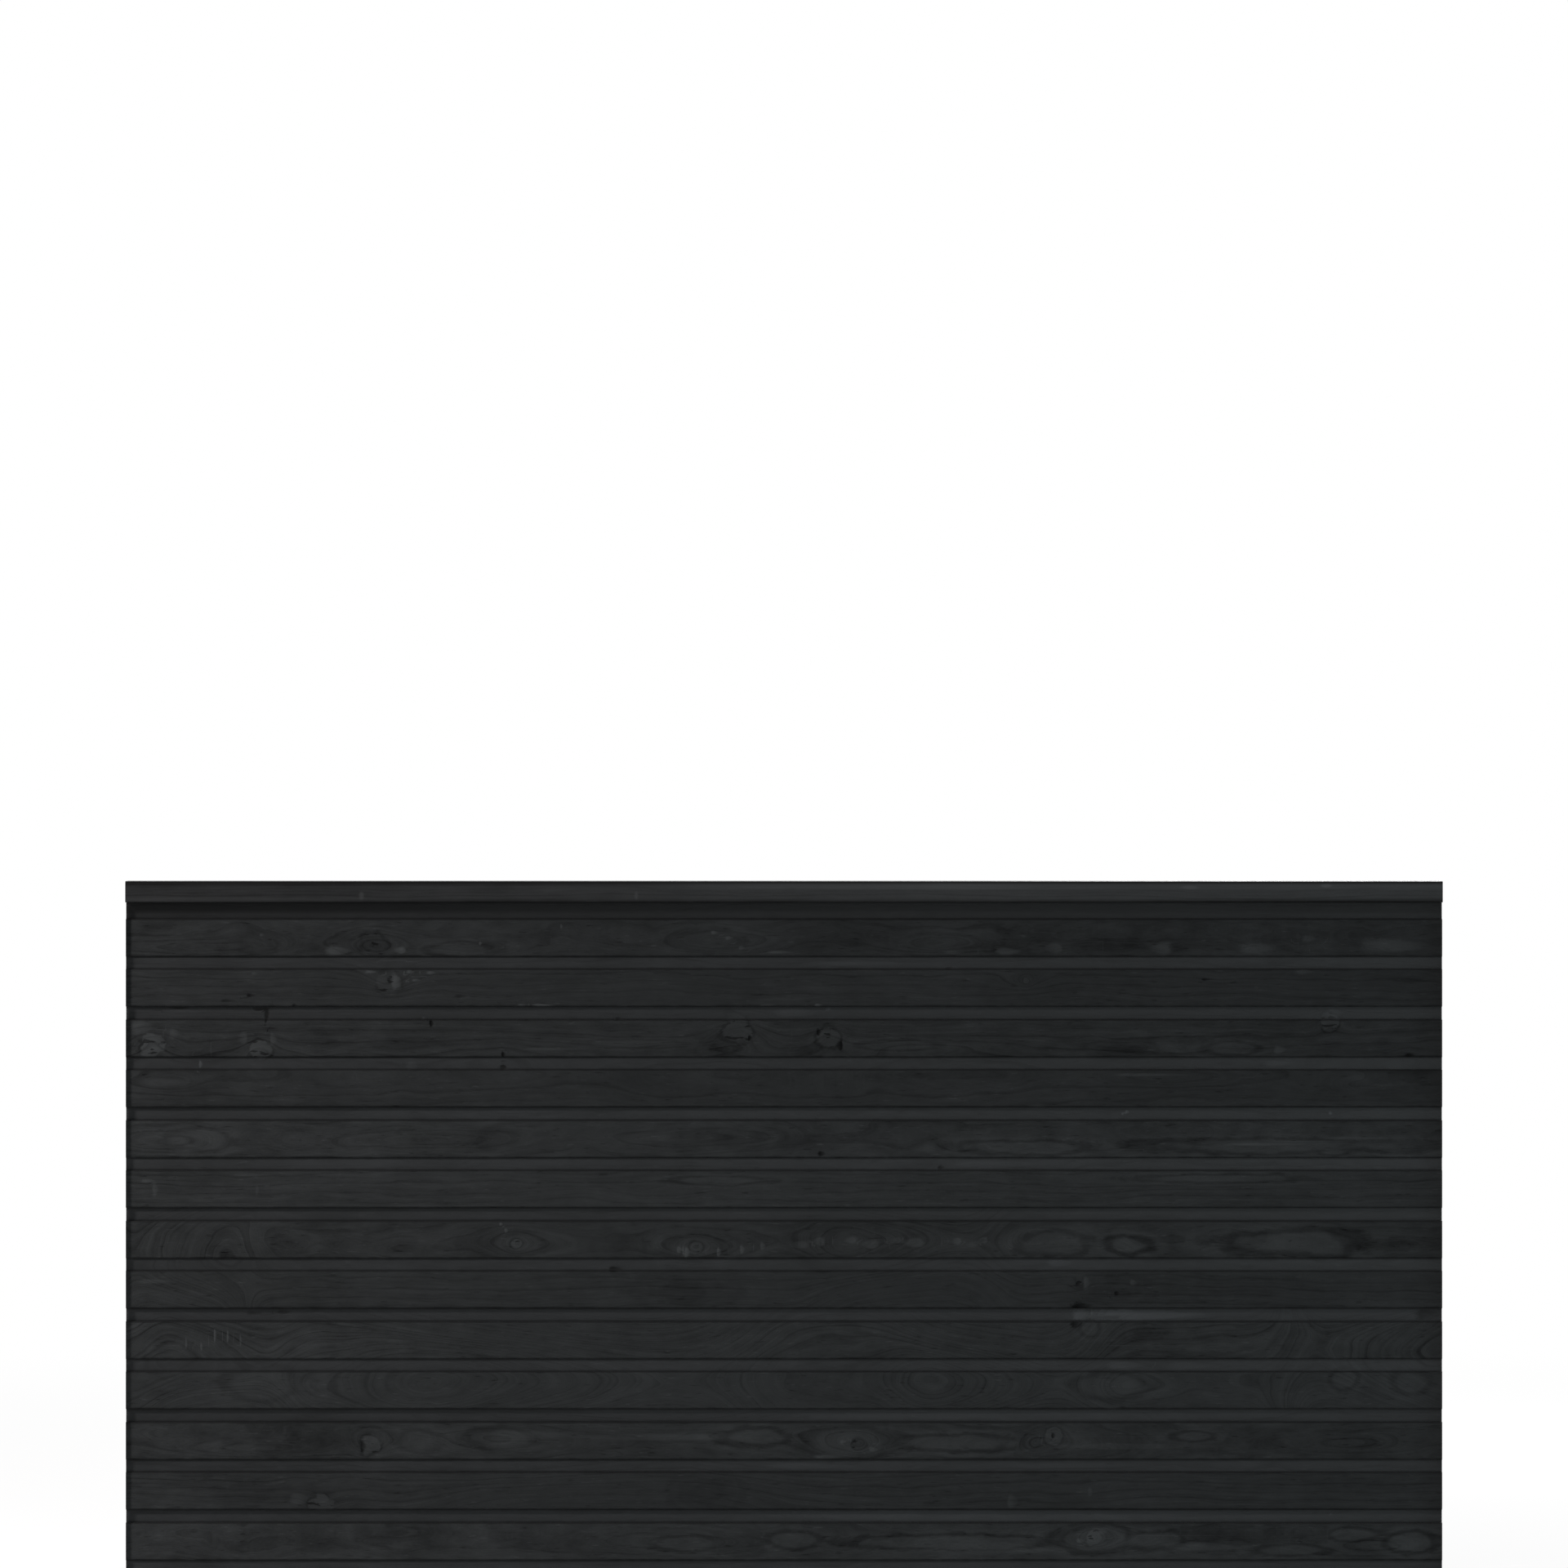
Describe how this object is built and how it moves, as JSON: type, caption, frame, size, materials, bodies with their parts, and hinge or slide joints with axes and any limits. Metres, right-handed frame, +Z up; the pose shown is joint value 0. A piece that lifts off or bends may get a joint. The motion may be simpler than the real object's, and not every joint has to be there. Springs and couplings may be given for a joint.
{
  "type": "wooden fence panel",
  "caption": "Low black-stained timber fence panel of profiled tongue-and-groove boards laid on edge, with a capping rail and upright back battens.",
  "frame": {"origin": "middle of the panel's foot, halfway between the capping rail's front and back", "axes": "+X along the panel to the right as seen from its profiled face, -Y out of the profiled face, +Z up"},
  "size_m": [1.74, 0.063, 0.91],
  "materials": {
    "stained_board": "fine-sawn faces and planed grooves, black stain",
    "stained_rail": "planed, black stain",
    "stained_batten": "planed, black stain",
    "screw": "zinc plated"
  },
  "bodies": {
    "root": {"board_1": "stained_board", "board_2": "stained_board", "board_3": "stained_board", "board_4": "stained_board", "board_5": "stained_board", "board_6": "stained_board", "board_7": "stained_board", "capping_rail": "stained_rail", "left_batten": "stained_batten", "middle_batten": "stained_batten", "right_batten": "stained_batten", "left_batten_screws": "screw", "middle_batten_screws": "screw", "right_batten_screws": "screw", "rail_screws": "screw"}
  },
  "joints": []
}
